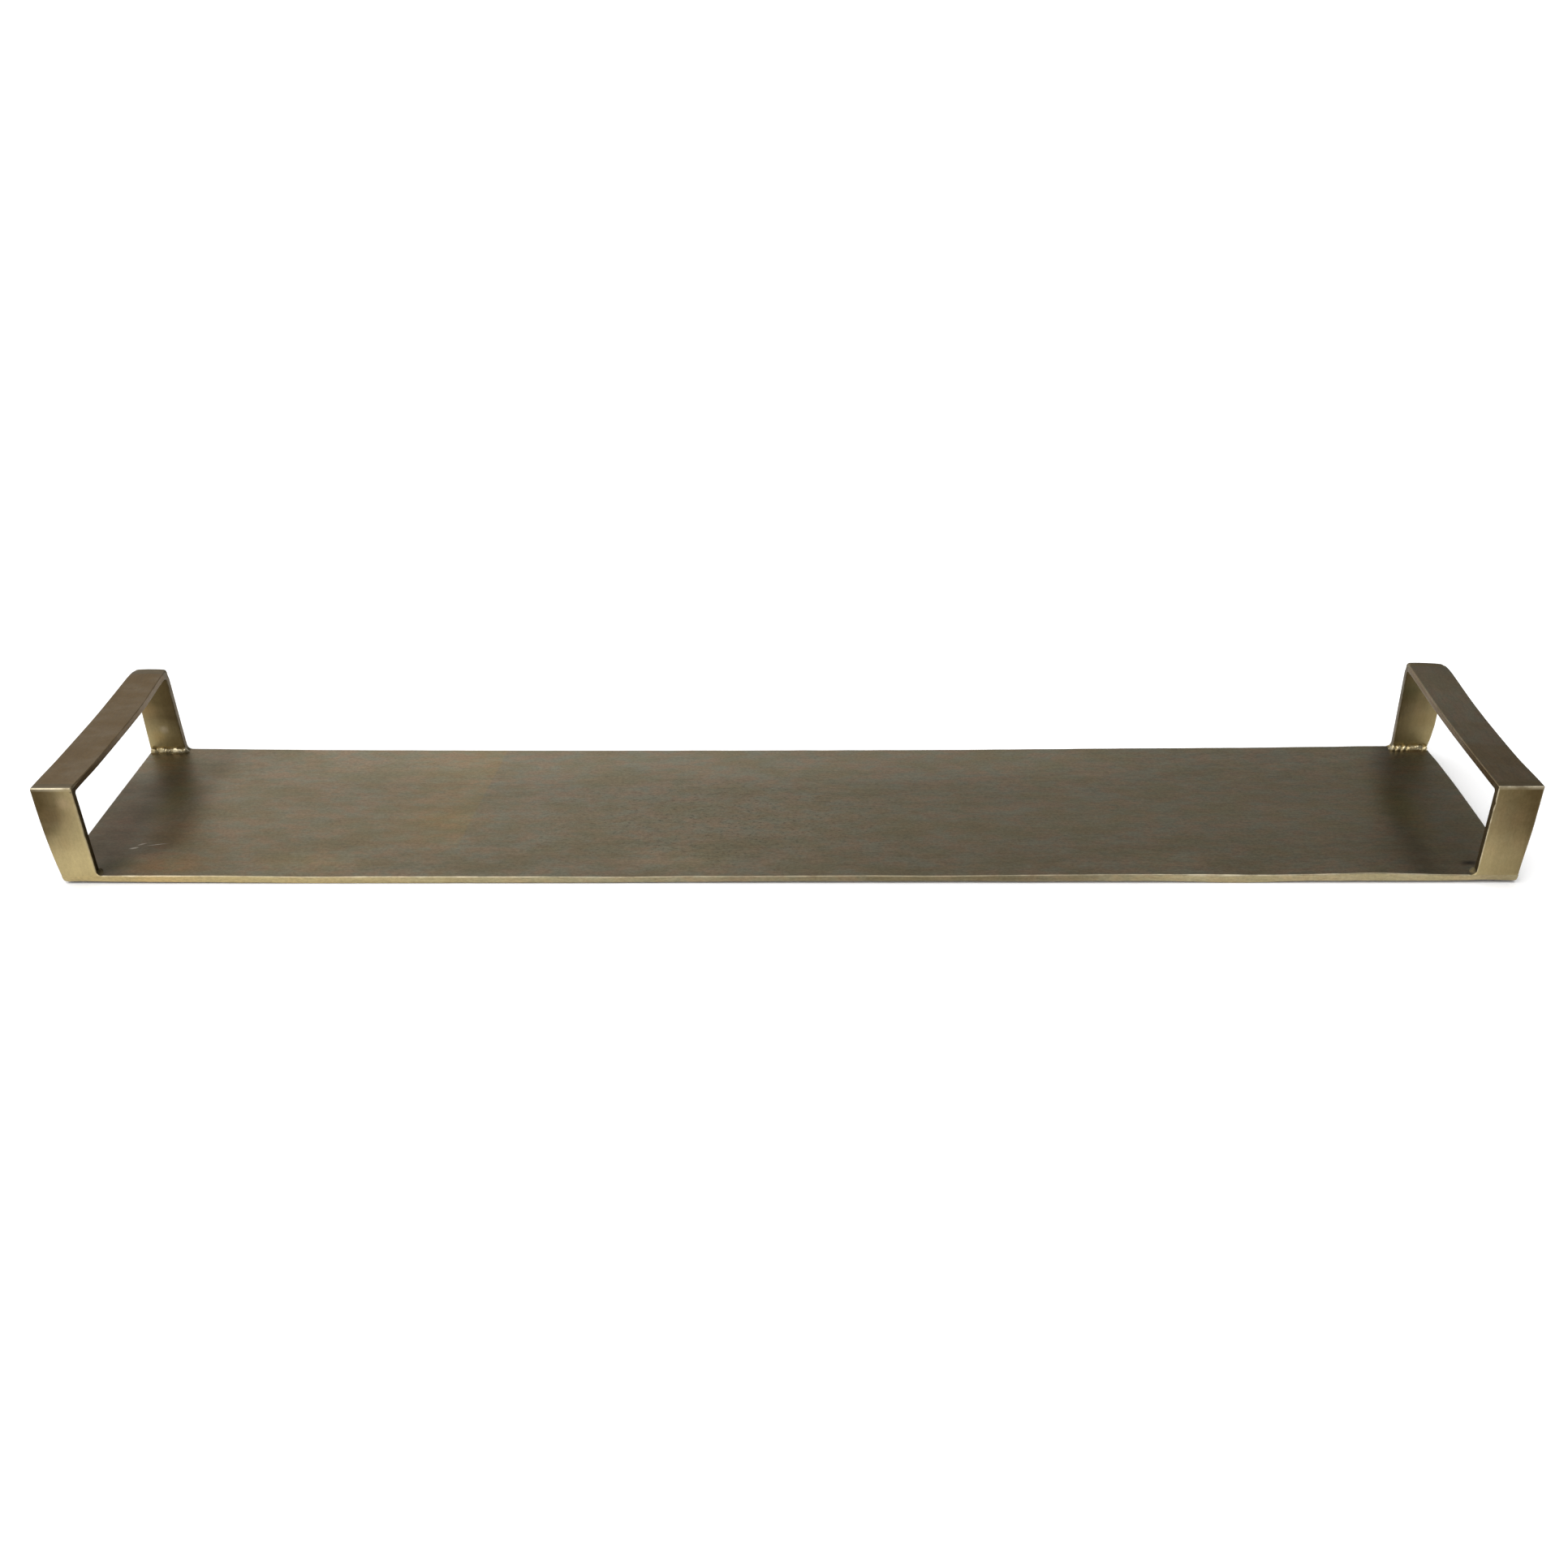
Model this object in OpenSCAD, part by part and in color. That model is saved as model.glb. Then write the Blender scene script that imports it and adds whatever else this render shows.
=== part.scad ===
// Long, narrow brass serving tray: a flat base plate with a bridge handle at each end.
// Each handle is three pieces of flat bar, two legs and a grip, joined by corner welds
// and welded upright on the plate, flush with its edges.
// Millimetres, +Z up. X runs along the tray, and the front is at -Y.
// The origin is the centre of the underside.

/* [Plate] */
// Length of the tray over its two ends
tray_l = 800; // [600:10:1000]
// Depth of the tray from its front edge to its rear edge
tray_w = 145; // [110:1:200]
// Thickness of the base plate
plate_t = 4; // [4:0.5:6]
// Radius worn on the lower arris of each end
end_r = 2; // [0.5:0.1:3.5]

/* [Handles] */
// Height of the tray to the top of its grips
handle_h = 60; // [45:1:90]
// Width of the flat bar
bar_w = 22.5; // [18:0.5:30]
// Thickness of the flat bar
bar_t = 4; // [4:0.5:6]

/* [Welds] */
// Height and width of the fillet weld round the foot of each leg
fillet = 3; // [1.5:0.1:4]
// Outer radius of the handles' front corners, which are ground nearly sharp
front_corner_r = 0.6; // [0.5:0.1:3.5]
// Outer radius of the handles' rear corners, which are left a little rounder
rear_corner_r = 1; // [0.5:0.1:3.8]

/* [Hidden] */

// Length of a leg, from the plate's top face to the underside of the corner weld
leg_h = handle_h - plate_t - bar_t;
// Length of a grip bar between its two corner welds
grip_l = tray_w - 2 * bar_t;

aged_brass = "#796c54";
bar_brass = "#8f7d58";
bare_brass = "#c9b27c";

$fn = 64;

// ---- Helpers ----

// Puts children in a corner's own frame: the origin is the plate's outer corner on its top face,
// +X and +Y point in towards the middle of the tray, and +Z is up.
module at_corner(side, end) {
  mirror([side == "right" ? 1 : 0, 0, 0])
    mirror([0, end == "rear" ? 1 : 0, 0])
      translate([-tray_l / 2, -tray_w / 2, plate_t])
        children();
}

// The flat-faced section of a fillet weld, with its right angle at the origin
module fillet_section() {
  polygon([[0, 0], [fillet, 0], [0, fillet]]);
}

// A square of side t whose corner at its low X and high Y is rounded
module rounded_square(t, r) {
  intersection() {
    square(t);
    union() {
      translate([r, t - r]) circle(r);
      translate([r, 0]) square(t);
      square([t, t - r]);
    }
  }
}

// ---- Plate ----

// The plate's outline seen from the front, with its two lower corners rounded
module plate_outline() {
  half = tray_l / 2;
  intersection() {
    translate([-half, 0]) square([tray_l, plate_t]);
    union() {
      translate([end_r - half, end_r]) circle(end_r);
      translate([half - end_r, end_r]) circle(end_r);
      translate([end_r - half, 0]) square([tray_l - 2 * end_r, plate_t]);
      translate([-half, end_r]) square([tray_l, plate_t]);
    }
  }
}

module base_plate() {
  color(aged_brass)
    rotate([90, 0, 0])
      linear_extrude(tray_w, center = true)
        plate_outline();
}

// ---- Handles ----

// An upright of flat bar that stands on the plate, flush with its edge and its end
module leg(side, end) {
  color(bar_brass)
    at_corner(side, end)
      cube([bar_w, bar_t, leg_h]);
}

// The level bar that the hand holds
module grip_bar(side) {
  color(aged_brass)
    at_corner(side, "front")
      translate([0, bar_t, leg_h])
        cube([bar_w, grip_l, bar_t]);
}

// ---- Welds ----

// The weld metal that fills the open corner between a leg and a grip bar, ground flush with both
module corner_weld(side, end) {
  color(bare_brass)
    at_corner(side, end)
      translate([0, 0, leg_h])
        rotate([90, 0, 90])
          linear_extrude(bar_w)
            rounded_square(bar_t, end == "front" ? front_corner_r : rear_corner_r);
}

// The weld at a leg's foot, which runs along the leg's inner face, turns the corner on a cone
// and runs out along the leg's inner edge, flush with the edge of the plate
module root_weld(side, end) {
  color(bare_brass)
    at_corner(side, end) {
      translate([0, bar_t, 0])
        rotate([90, 0, 90]) linear_extrude(bar_w) fillet_section();
      translate([bar_w, bar_t, 0])
        rotate([90, 0, 0]) linear_extrude(bar_t) fillet_section();
      translate([bar_w, bar_t, 0])
        rotate_extrude(angle = 90) fillet_section();
    }
}

base_plate();

leg("left", "front");  // left_front_leg
leg("left", "rear");  // left_rear_leg
grip_bar("left");  // left_grip_bar
leg("right", "front");  // right_front_leg
leg("right", "rear");  // right_rear_leg
grip_bar("right");  // right_grip_bar

corner_weld("left", "front");  // left_front_corner_weld
corner_weld("left", "rear");  // left_rear_corner_weld
corner_weld("right", "front");  // right_front_corner_weld
corner_weld("right", "rear");  // right_rear_corner_weld

root_weld("left", "front");  // left_front_root_weld
root_weld("left", "rear");  // left_rear_root_weld
root_weld("right", "front");  // right_front_root_weld
root_weld("right", "rear");  // right_rear_root_weld
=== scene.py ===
"""Looks of a long, narrow brass tray with a welded bridge handle of flat bar at each end.

Every CAD node is replaced by a piece of the same size whose arrises, welds and faces wander by
one to three millimetres, as they do on a tray that was cut, welded and ground by hand.
Shapes are worked out in millimetres, in the frame's axes, and stored in metres.
"""

import math

import bmesh
import bpy
import numpy as np
from mathutils import Matrix, Vector, noise


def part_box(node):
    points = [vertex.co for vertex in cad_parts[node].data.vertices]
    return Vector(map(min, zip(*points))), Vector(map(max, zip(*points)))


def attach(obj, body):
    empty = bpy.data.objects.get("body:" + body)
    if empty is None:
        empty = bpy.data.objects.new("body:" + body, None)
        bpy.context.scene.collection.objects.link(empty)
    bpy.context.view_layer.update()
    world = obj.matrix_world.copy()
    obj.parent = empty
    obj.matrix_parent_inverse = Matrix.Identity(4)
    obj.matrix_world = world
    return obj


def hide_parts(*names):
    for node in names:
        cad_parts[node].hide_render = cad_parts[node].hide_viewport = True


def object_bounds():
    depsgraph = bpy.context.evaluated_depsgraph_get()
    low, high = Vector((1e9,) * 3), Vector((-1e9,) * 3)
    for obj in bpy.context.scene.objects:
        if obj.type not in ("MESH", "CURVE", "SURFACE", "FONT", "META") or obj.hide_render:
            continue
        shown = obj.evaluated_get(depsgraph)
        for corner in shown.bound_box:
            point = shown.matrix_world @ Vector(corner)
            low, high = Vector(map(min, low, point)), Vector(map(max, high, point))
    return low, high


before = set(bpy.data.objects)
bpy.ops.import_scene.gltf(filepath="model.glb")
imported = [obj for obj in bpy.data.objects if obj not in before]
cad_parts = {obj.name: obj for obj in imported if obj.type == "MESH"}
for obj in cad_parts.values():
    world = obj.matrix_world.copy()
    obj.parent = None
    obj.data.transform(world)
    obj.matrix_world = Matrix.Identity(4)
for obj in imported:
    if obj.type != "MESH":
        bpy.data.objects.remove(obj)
cad_low, cad_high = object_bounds()

MM = 0.001

# ---- Sizes, from the frame ----


def node_box(node):
    """Lowest and highest corner of a CAD node, in millimetres."""
    low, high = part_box(node)
    return np.array(low) / MM, np.array(high) / MM


_, PLATE_HIGH = node_box("base_plate")
LEG_LOW, LEG_HIGH = node_box("left_front_leg")
HALF_LENGTH = PLATE_HIGH[0]
HALF_WIDTH = PLATE_HIGH[1]
PLATE_T = PLATE_HIGH[2]
BAR_W = LEG_HIGH[0] - LEG_LOW[0]
BAR_T = LEG_HIGH[1] - LEG_LOW[1]
HANDLE_H = cad_high.z / MM
LEG_X = HALF_LENGTH - BAR_W  # inner edge of each handle

# ---- Sizes of what is worn, filed or welded, in millimetres ----

ARRIS = 0.45  # radius rubbed on every free edge
TIGHT = 0.04  # what is left of it where two pieces meet flush
CORNER_R = {"front": 0.6, "rear": 0.8}  # outer radius of the handles' corners
REAR_ARRIS = {"outer": 1.3, "inner": 2.0}  # both ends of each rear corner are filed round
REAR_END_R = 3.7  # radius of each rear corner's outer end, seen from above
BLUNT_ARRIS = 1.2  # the left handle's inner arris is rubbed rounder round its front corner
# Radius of the weld metal inside each corner of the handles
CROTCH_R = {
    ("left", "front"): 1.3, ("left", "rear"): 2.8,
    ("right", "front"): 1.2, ("right", "rear"): 1.1,
}
LOWER_END_R = {-1: 2.6, 1: 1.6}  # lower arris of the plate's left and right end
FOOT_FILLET = {-1: 2.3, 1: 2.6}  # weld fillet at the foot of each handle's front leg
LIFT = 1.25  # puts the lowest point of the wavy underside on the ground

REAR_BOW = 2.2  # how far the plate's rear edge bows forward in the middle
REAR_DROOP = 0.9  # how far it droops there
REAR_ROLL = 0.35  # how far its top arris is rolled down
GRIP_SAG = {-1: 1.2, 1: 1.55}  # how far each grip sags
CORNER_CROWN = 0.5  # how far each rear top edge droops at its two ends
HAMMERED = {"height": 0.10, "size": 34, "seed": 3.7}  # the small unevenness of every face

CRISP_ANGLE = math.radians(50)  # edges sharper than this stay crisp

SIDES = {-1: "left", 1: "right"}

# ---- Helpers for shapes ----


def hill(x, centre, width):
    """A smooth hump, 1 high at its centre."""
    return np.exp(-(((x - centre) / width) ** 2))


def ramp(x, start, end):
    """Rises smoothly from 0 at start to 1 at end, which may lie on either side of it."""
    t = np.clip((x - start) / (end - start), 0, 1)
    return t * t * (3 - 2 * t)


def waves(x, terms):
    """A sum of hills, each given as (height, centre, width)."""
    return sum(height * hill(x, centre, width) for height, centre, width in terms)


def unevenness(points, size, seed):
    """Smooth noise from about -1 to 1 at each point, with bumps of the given size."""
    offset = Vector((seed, -seed, 0.5 * seed))
    return np.array([noise.noise(Vector(p) / size + offset) for p in points])


def across_handle(x):
    """0 at a handle's inner edge and 1 at the tray's end."""
    return np.clip((np.abs(x) - LEG_X) / BAR_W, 0, 1)


def up_handle(z):
    """0 at the plate's top face and 1 at the top of the grips."""
    return np.clip((z - PLATE_T) / (HANDLE_H - PLATE_T), 0, 1)


# The plate's front edge, where it was cut and hammered: its lower and its upper arris, as waves
FRONT_LOWER = ((-1.1, -235, 105), (-0.65, -100, 65), (-0.35, 140, 25), (-1.25, 247, 24),
               (0.4, -386, 14), (0.7, 384, 14))
FRONT_UPPER = ((-0.85, -150, 130), (-0.45, -262, 30), (-0.45, -85, 25), (-0.35, -8, 45),
               (-0.5, 86, 32), (0.45, 195, 35), (1.2, 322, 30))


def middle_span(x):
    """1 along the middle of the tray and 0 at its ends."""
    return np.clip(1 - np.abs((x + 10) / 372) ** 2.6, 0, 1) - 0.15 * hill(x, 200, 60)


def bent_plate(x, y, z):
    """How far the plate's surface at z is out of true, up and back."""
    through = np.clip(z / PLATE_T, 0, 1)
    front = ramp(y, -10, -HALF_WIDTH)
    rear = ramp(y, -20, HALF_WIDTH)
    edge = (1 - through) * waves(x, FRONT_LOWER) + through * waves(x, FRONT_UPPER)
    up = front * edge - rear * (REAR_DROOP * middle_span(x) + REAR_ROLL * through)
    back = -REAR_BOW * rear * middle_span(x)
    return up, back


# Waves up the outer edge of the right handle's rear leg, which was ground beside its weld
RIGHT_REAR_EDGE = ((0.7, 21, 8), (-0.9, 5, 4), (1.1, 40, 15))


def leaning_handle(x, y, z):
    """How far each handle and the corners under it stand out along X."""
    outer = across_handle(x)
    height = up_handle(z)
    at_front = ramp(y, 12 * height - 50, BAR_T - HALF_WIDTH)
    at_rear = ramp(y, 50 - 30 * height, HALF_WIDTH - BAR_T)
    near = ramp(np.abs(x), LEG_X - 25, LEG_X)
    # left: the front leg was ground away towards its foot, and the rear leg leans out
    ground = -0.5 + 3.3 * np.clip((58 - z) / 54, 0, 1) ** 2.6
    left = at_front * (outer * ground - 0.8 * (1 - outer) * height)
    left = left - at_rear * (1 - outer) * (0.4 + 1.6 * height)
    # right: the front leg bellies out above its foot, and so does the plate's end behind it
    right = at_front * (1.1 * outer * ramp(z, 3, 38) - 0.3 * (1 - outer))
    right = right + at_rear * ((1 - outer) * (0.5 - 1.4 * height) + outer * waves(z, RIGHT_REAR_EDGE))
    right = right + 0.9 * (1 - height) * outer * (1 - at_front) * ramp(y, 66, 20)
    bowed = 0.25 * hill(y, 5, 40) * height * outer
    return near * np.where(x < 0, left + bowed, right - bowed)


def sagging_grip(x, y, z):
    """How far each grip sags between its corners, and rises towards its rear corner."""
    height = ramp(z, HANDLE_H - 12, HANDLE_H - BAR_T)
    left = GRIP_SAG[-1] * np.clip(np.cos((y - 14) / 90 * math.pi / 2), 0, 1) ** 1.3
    right = GRIP_SAG[1] * np.clip(np.cos((y + 6) / 74 * math.pi / 2), 0, 1)
    inner = np.clip((HALF_LENGTH - np.abs(x)) / BAR_W, 0, 1)
    raised = ramp(y, 20, HALF_WIDTH - 4) * np.where(x < 0, 0.3, 0.7 + 1.1 * inner)
    return height * (raised - np.where(x < 0, left, right))


def filed_rear_corner(x, y, z):
    """How far each handle's rear top edge droops towards both of its ends."""
    at_corner = ramp(y, HALF_WIDTH - 14, HALF_WIDTH - 1) * ramp(z, HANDLE_H - 9, HANDLE_H - 2)
    return -CORNER_CROWN * at_corner * np.abs(2 * across_handle(x) - 1) ** 2.5


def rounded_end(x, y, z):
    """How far in and forward the outer end of each rear corner is filed away."""
    along = np.clip(np.abs(x) - HALF_LENGTH + REAR_END_R, 0, None)
    back = np.clip(y - HALF_WIDTH + REAR_END_R, 0, None)
    reach = np.hypot(along, back)
    spare = 1 - np.maximum(along, back) / np.maximum(reach, 1e-9)
    spare = spare * ramp(z, HANDLE_H - 16, HANDLE_H - 3)
    return -np.sign(x) * along * spare, -back * spare


# Dents in the front legs' inner arris: (side, height, depth, half-width)
DENTS = ((-1, 30, 0.35, 2.0), (1, 49, 0.45, 1.6))


def dents(x, y, z):
    """How far the dents push the arris out along X, away from the middle of the tray."""
    push = np.zeros_like(x)
    for side, at, depth, width in DENTS:
        here = ramp(np.abs(x), LEG_X + 2.5, LEG_X) * ramp(y, -69, -HALF_WIDTH) * (x * side > 0)
        push = push + side * depth * here * hill(z, at, width)
    return push


def handmade(points):
    """Moves points of the true shape to where they are on the tray. Flush pieces stay flush."""
    x, y, z = points.T
    height = up_handle(z)
    up, back = bent_plate(x, y, z)
    up = up * (1 - height) + sagging_grip(x, y, z) + filed_rear_corner(x, y, z)
    out = leaning_handle(x, y, z) + dents(x, y, z)
    end_in, end_forward = rounded_end(x, y, z)
    hammered = HAMMERED["height"] * unevenness(points, HAMMERED["size"], HAMMERED["seed"])
    moved_x = x + out + end_in + hammered
    moved_y = y + back * (1 - height) + end_forward + hammered
    return np.stack([moved_x, moved_y, z + up + LIFT], 1)


# ---- Helpers for meshes ----


def brass_piece(node, points, faces, wear_and_glint, material):
    """One piece in place of a CAD node. Points are of the true shape, in millimetres."""
    mesh = bpy.data.meshes.new(node + "_brass")
    mesh.from_pydata((handmade(points) * MM).tolist(), [], faces)
    mesh.validate()
    finish_shape(mesh)
    mesh.materials.append(material)
    piece = bpy.data.objects.new(node + "_brass", mesh)
    bpy.context.scene.collection.objects.link(piece)
    set_marks(mesh, points, wear_and_glint)
    flats = piece.modifiers.new("flats", "WEIGHTED_NORMAL")
    flats.keep_sharp = True
    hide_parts(node)
    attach(piece, "root")


def finish_shape(mesh):
    """Turns all faces out and keeps the ends of each piece crisp."""
    shape = bmesh.new()
    shape.from_mesh(mesh)
    bmesh.ops.recalc_face_normals(shape, faces=shape.faces)
    for face in shape.faces:
        face.smooth = True
    for edge in shape.edges:
        edge.smooth = edge.calc_face_angle(0) < CRISP_ANGLE
    shape.to_mesh(mesh)
    shape.free()


def tube_faces(rings, across):
    """Quads between closed rings of points."""
    faces = []
    for i in range(rings - 1):
        for j in range(across):
            k = (j + 1) % across
            a = i * across
            faces.append((a + j, a + k, a + across + k, a + across + j))
    return faces


def set_marks(mesh, points, wear_and_glint):
    """Stores what the finish depends on, at each vertex: wear on arrises with painted glints on the rear
    beads, bare metal with a painted reflection of the floor on the front legs, and age with painted shade
    and reflections.
    """
    normals = np.zeros(len(mesh.vertices) * 3, np.float32)
    mesh.vertices.foreach_get("normal", normals)
    normals = normals.reshape(-1, 3)
    for name, values in (("wear_and_glint", wear_and_glint), ("bare_and_floor_sheen", bare_metal_and_floor_sheen(points, normals)),
                         ("aged_and_shaded", patina_and_painted_shade(points, normals))):
        layer = mesh.attributes.new(name, "FLOAT", "POINT")
        layer.data.foreach_set("value", np.asarray(values, np.float32))


def bare_metal_and_floor_sheen(points, normals):
    """How pale each point is, from 0 to 1: pale metal showing through the patina, and on the front legs a
    painted reflection of the floor that grows paler towards their feet.
    """
    x, y, z = points.T
    facing = np.clip(-normals[:, 1], 0, 1) ** 2
    front = np.where(y < 0.01 - HALF_WIDTH, 1, facing * ramp(y, -66, -70))
    rear = (z > PLATE_T) * (z < HANDLE_H - BAR_T) * ramp(y, 67.5, HALF_WIDTH - BAR_T)
    rear = rear * ramp(y, HALF_WIDTH - BAR_T + 0.4, HALF_WIDTH - BAR_T)
    outer = across_handle(x)
    along = 0.84 - 0.66 * ramp(x, -350, 0) + 0.28 * ramp(x, 150, 235)
    # front legs: paler towards the foot, a painted reflection of the pale floor
    left_leg = 1.0 - 0.20 * outer - (0.50 + 0.67 * outer) * ramp(z, 8, 46)
    right_leg = 0.56 - 0.26 * outer - (0.42 - 0.10 * outer) * ramp(z, 4, 46)
    leg = np.where(x < 0, left_leg, right_leg)
    on_leg = ramp(np.abs(x), LEG_X - 8, LEG_X)
    # rear legs' inner faces: paler towards the foot
    rear_leg = np.where(x < 0, 0.20 * outer + 0.46 * ramp(z, 32, 10),
                        0.04 + 0.24 * outer + 0.45 * ramp(z, 36, 8))
    return np.clip(front * (on_leg * leg + (1 - on_leg) * along) + rear * rear_leg, 0, 1)


def plate_patina_and_painted_reflections(x, y):
    """How dark the plate's top face is: its patina, and painted reflections of the handles near both ends.
    """
    aged_and_shaded = 0.03 + 0.24 * ramp(y, 62, 15) + 0.12 * ramp(y, 0, -60) + 0.07 * hill(x, 90, 90)
    aged_and_shaded = aged_and_shaded + 0.15 * ramp(y, 10, 60) * ramp(x, 150, 260)
    # painted reflection of the left rear leg: a dark patch on the plate in front of it
    aged_and_shaded = aged_and_shaded + 0.26 * ramp(y, 20, 60) * hill(x, -335, 35)
    # painted reflection of the handles: the plate darkens in bands beside each handle
    front = ramp(y, -40, -56)
    aged_and_shaded = aged_and_shaded + 0.24 * ramp(x + 22 * front, -334, -352)
    aged_and_shaded = aged_and_shaded + 0.24 * ramp(x, -362, -378) * ramp(y, 50, 30)
    reflection_band = 357 + 0.09 * y + 0.0025 * np.clip(y, 0, None) ** 2
    return aged_and_shaded + (0.32 + 0.15 * ramp(y, 30, 58)) * hill(x, reflection_band, 10)


# Where the plate's front edge is darker, as waves
FRONT_EDGE_AGE = ((0.42, 80, 120), (0.35, 115, 60))


def patina_and_painted_shade(points, normals):
    """How dark and brown each point is, from 0 to 1: the patina, painted shade towards the top of the
    front legs, and the plate's painted reflections of the handles.
    """
    x, y, z = points.T
    outer = across_handle(x)
    facing_up = np.clip(normals[:, 2], 0, 1) ** 2 * (z < PLATE_T + 0.5)
    front_edge = np.clip(-normals[:, 1], 0, 1) ** 2 * (z < PLATE_T + 0.5)
    on_plate = facing_up * plate_patina_and_painted_reflections(x, y) + front_edge * waves(x, FRONT_EDGE_AGE)
    # front legs: darker towards the top, painted shade that goes with their painted paleness below
    front_leg = np.where(x < 0, 0.08 + 0.12 * ramp(z, 35, 52) + 0.92 * outer * ramp(z, 12, 50),
                         0.02 + 0.48 * ramp(z, 16, 52) + 0.60 * outer)
    rear_leg = 0.80 * (1 - outer) * ramp(z, 6, 34) + 0.15 * ramp(z, 30, 50) + 0.25 * (x < 0)
    rear_leg = rear_leg + 0.5 * (1 - outer) * (x < 0)
    on_leg = (z > PLATE_T) * np.where(y < 0, front_leg, rear_leg)
    on_grip = ramp(z, HANDLE_H - BAR_T - 2, HANDLE_H - BAR_T) * (np.abs(y) < HALF_WIDTH - 2)
    grip = np.where(x < 0, 0.86, 0.50 * ramp(y, 40, -50))
    aged_and_shaded = on_plate + on_leg * (1 - on_grip) + on_grip * grip
    # darker on the handles' inner sides and on the front beads
    inner_side = (z > PLATE_T) * ramp(-np.sign(x) * normals[:, 0], 0.6, 0.9)
    inner_side = inner_side * np.where(y < 8 - HALF_WIDTH, 0.6, 1.0)
    bead = 0.9 * (y < 0) * (y > 0.2 - HALF_WIDTH) * (z > PLATE_T) * (z < PLATE_T + 3.6)
    return np.clip(np.maximum(aged_and_shaded, np.maximum(inner_side, bead)), 0, 1)


# ---- Plate ----

ALONG_STEPS = 216  # along the plate
ACROSS_STEPS = 36  # across it, between the rings that form its two long arrises
ARC_STEPS = 4  # round every arris
PLATE_ARRIS = 0.5  # radius of the top arris at the plate's two ends
HOLD = 0.25  # how far inside an arris the next points lie, which keeps the face beside it flat


def plate_outline(y):
    """The plate seen from the front, at depth y: its top, right end, underside and left end.

    The first half of the points has its match, read backwards, in the underside.
    """
    under_leg = ramp(abs(y), HALF_WIDTH - BAR_T - 1.5, HALF_WIDTH - BAR_T)
    upper_r = PLATE_ARRIS * (1 - under_leg) + TIGHT * under_leg
    top = np.linspace(-HALF_LENGTH + upper_r, HALF_LENGTH - upper_r, ALONG_STEPS + 1)
    points = [(x, PLATE_T) for x in top]
    points += end_curve(1, upper_r)
    bottom = np.linspace(HALF_LENGTH - LOWER_END_R[1], -HALF_LENGTH + LOWER_END_R[-1], ALONG_STEPS + 1)
    points += [(x, 0.0) for x in bottom]
    points += end_curve(-1, upper_r)[::-1]
    return np.array(points)


def end_curve(side, upper_r):
    """Points down one end of the plate, between its top face and its underside."""
    lower_r = LOWER_END_R[side]
    quarter = np.linspace(0, math.pi / 2, ARC_STEPS + 1)
    points = [(upper_r - upper_r * math.sin(a), PLATE_T - upper_r + upper_r * math.cos(a))
              for a in quarter[1:]]
    points += [(lower_r - lower_r * math.cos(a), lower_r - lower_r * math.sin(a)) for a in quarter[:-1]]
    return [(side * (HALF_LENGTH - inset), z) for inset, z in points]


def towards_core(outline, distance):
    """Moves the outline's points in towards the line along the middle of the plate."""
    core_x = np.clip(outline[:, 0], 2 - HALF_LENGTH, HALF_LENGTH - 2)
    way = np.stack([core_x - outline[:, 0], PLATE_T / 2 - outline[:, 1]], 1)
    return outline + way / np.linalg.norm(way, axis=1)[:, None] * distance[:, None]


def plate_arris(outline, side_y):
    """The arris radius at each point of the outline, along the front or the rear edge."""
    x, z = outline.T
    fillet = np.where(x < 0, FOOT_FILLET[-1], FOOT_FILLET[1])
    under_leg = ramp(np.abs(x), LEG_X - fillet - 0.6, LEG_X - fillet + 0.6) * ramp(z, 2.5, 3.5)
    across = np.stack([x, np.full_like(x, side_y), z], 1)
    radius = ARRIS * (1 + 0.5 * unevenness(across, 11, 8.1)) + 0.1
    under_end = (np.abs(x) > HALF_LENGTH - 1) & (z < 3)
    return np.where(under_end, ARRIS, radius * (1 - under_leg) + TIGHT * under_leg)


def base_plate():
    """The plate, skinned over outlines that follow each other from the front to the rear."""
    depth_steps = np.linspace(1.2 - HALF_WIDTH, HALF_WIDTH - 1.2, ACROSS_STEPS + 1)
    foot_line = HALF_WIDTH - BAR_T
    inner = sorted(set(depth_steps) | {-foot_line, foot_line, 1.6 - foot_line, foot_line - 1.6})
    rings, rub_and_glint_values = [], []
    for side_y in (-1, 1):
        edge_rings, edge_wears = [], []
        outline = plate_outline(side_y * HALF_WIDTH)
        radius = plate_arris(outline, side_y * HALF_WIDTH)
        for angle in np.linspace(0, math.pi / 2, ARC_STEPS + 1):
            inset = towards_core(outline, radius * (1 - math.cos(angle)))
            y = side_y * (HALF_WIDTH - radius * (1 - math.sin(angle)))
            edge_rings.append(np.stack([inset[:, 0], y, inset[:, 1]], 1))
            edge_wears.append((radius > 2 * TIGHT) * (0.35 + 0.65 * math.sin(2 * angle)))
        hold = towards_core(outline, radius + HOLD)
        y = np.full(len(outline), side_y * HALF_WIDTH)
        edge_rings.append(np.stack([hold[:, 0], y, hold[:, 1]], 1))
        edge_wears.append(np.zeros(len(outline)))
        if side_y < 0:
            rings += edge_rings[::-1]
            rub_and_glint_values += edge_wears[::-1]
            for y in inner:
                outline = plate_outline(y)
                rings.append(np.stack([outline[:, 0], np.full(len(outline), y), outline[:, 1]], 1))
                rub_and_glint_values.append(np.zeros(len(outline)))
        else:
            rings += edge_rings
            rub_and_glint_values += edge_wears
    across = len(rings[0])
    faces = tube_faces(len(rings), across)
    for first in (0, (len(rings) - 1) * across):
        faces += plate_end_faces(first, across)
    wear_and_glint = np.concatenate(rub_and_glint_values)
    points = np.concatenate(rings)
    top = points[:, 2] > PLATE_T / 2
    front_wear = np.where(top, front_rubbing(points[:, 0]), 0.12)
    wear_and_glint = wear_and_glint * np.where(points[:, 1] < 0, front_wear, 0.10)
    brass_piece("base_plate", points, faces, wear_and_glint, PLATE_BRASS)


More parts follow.
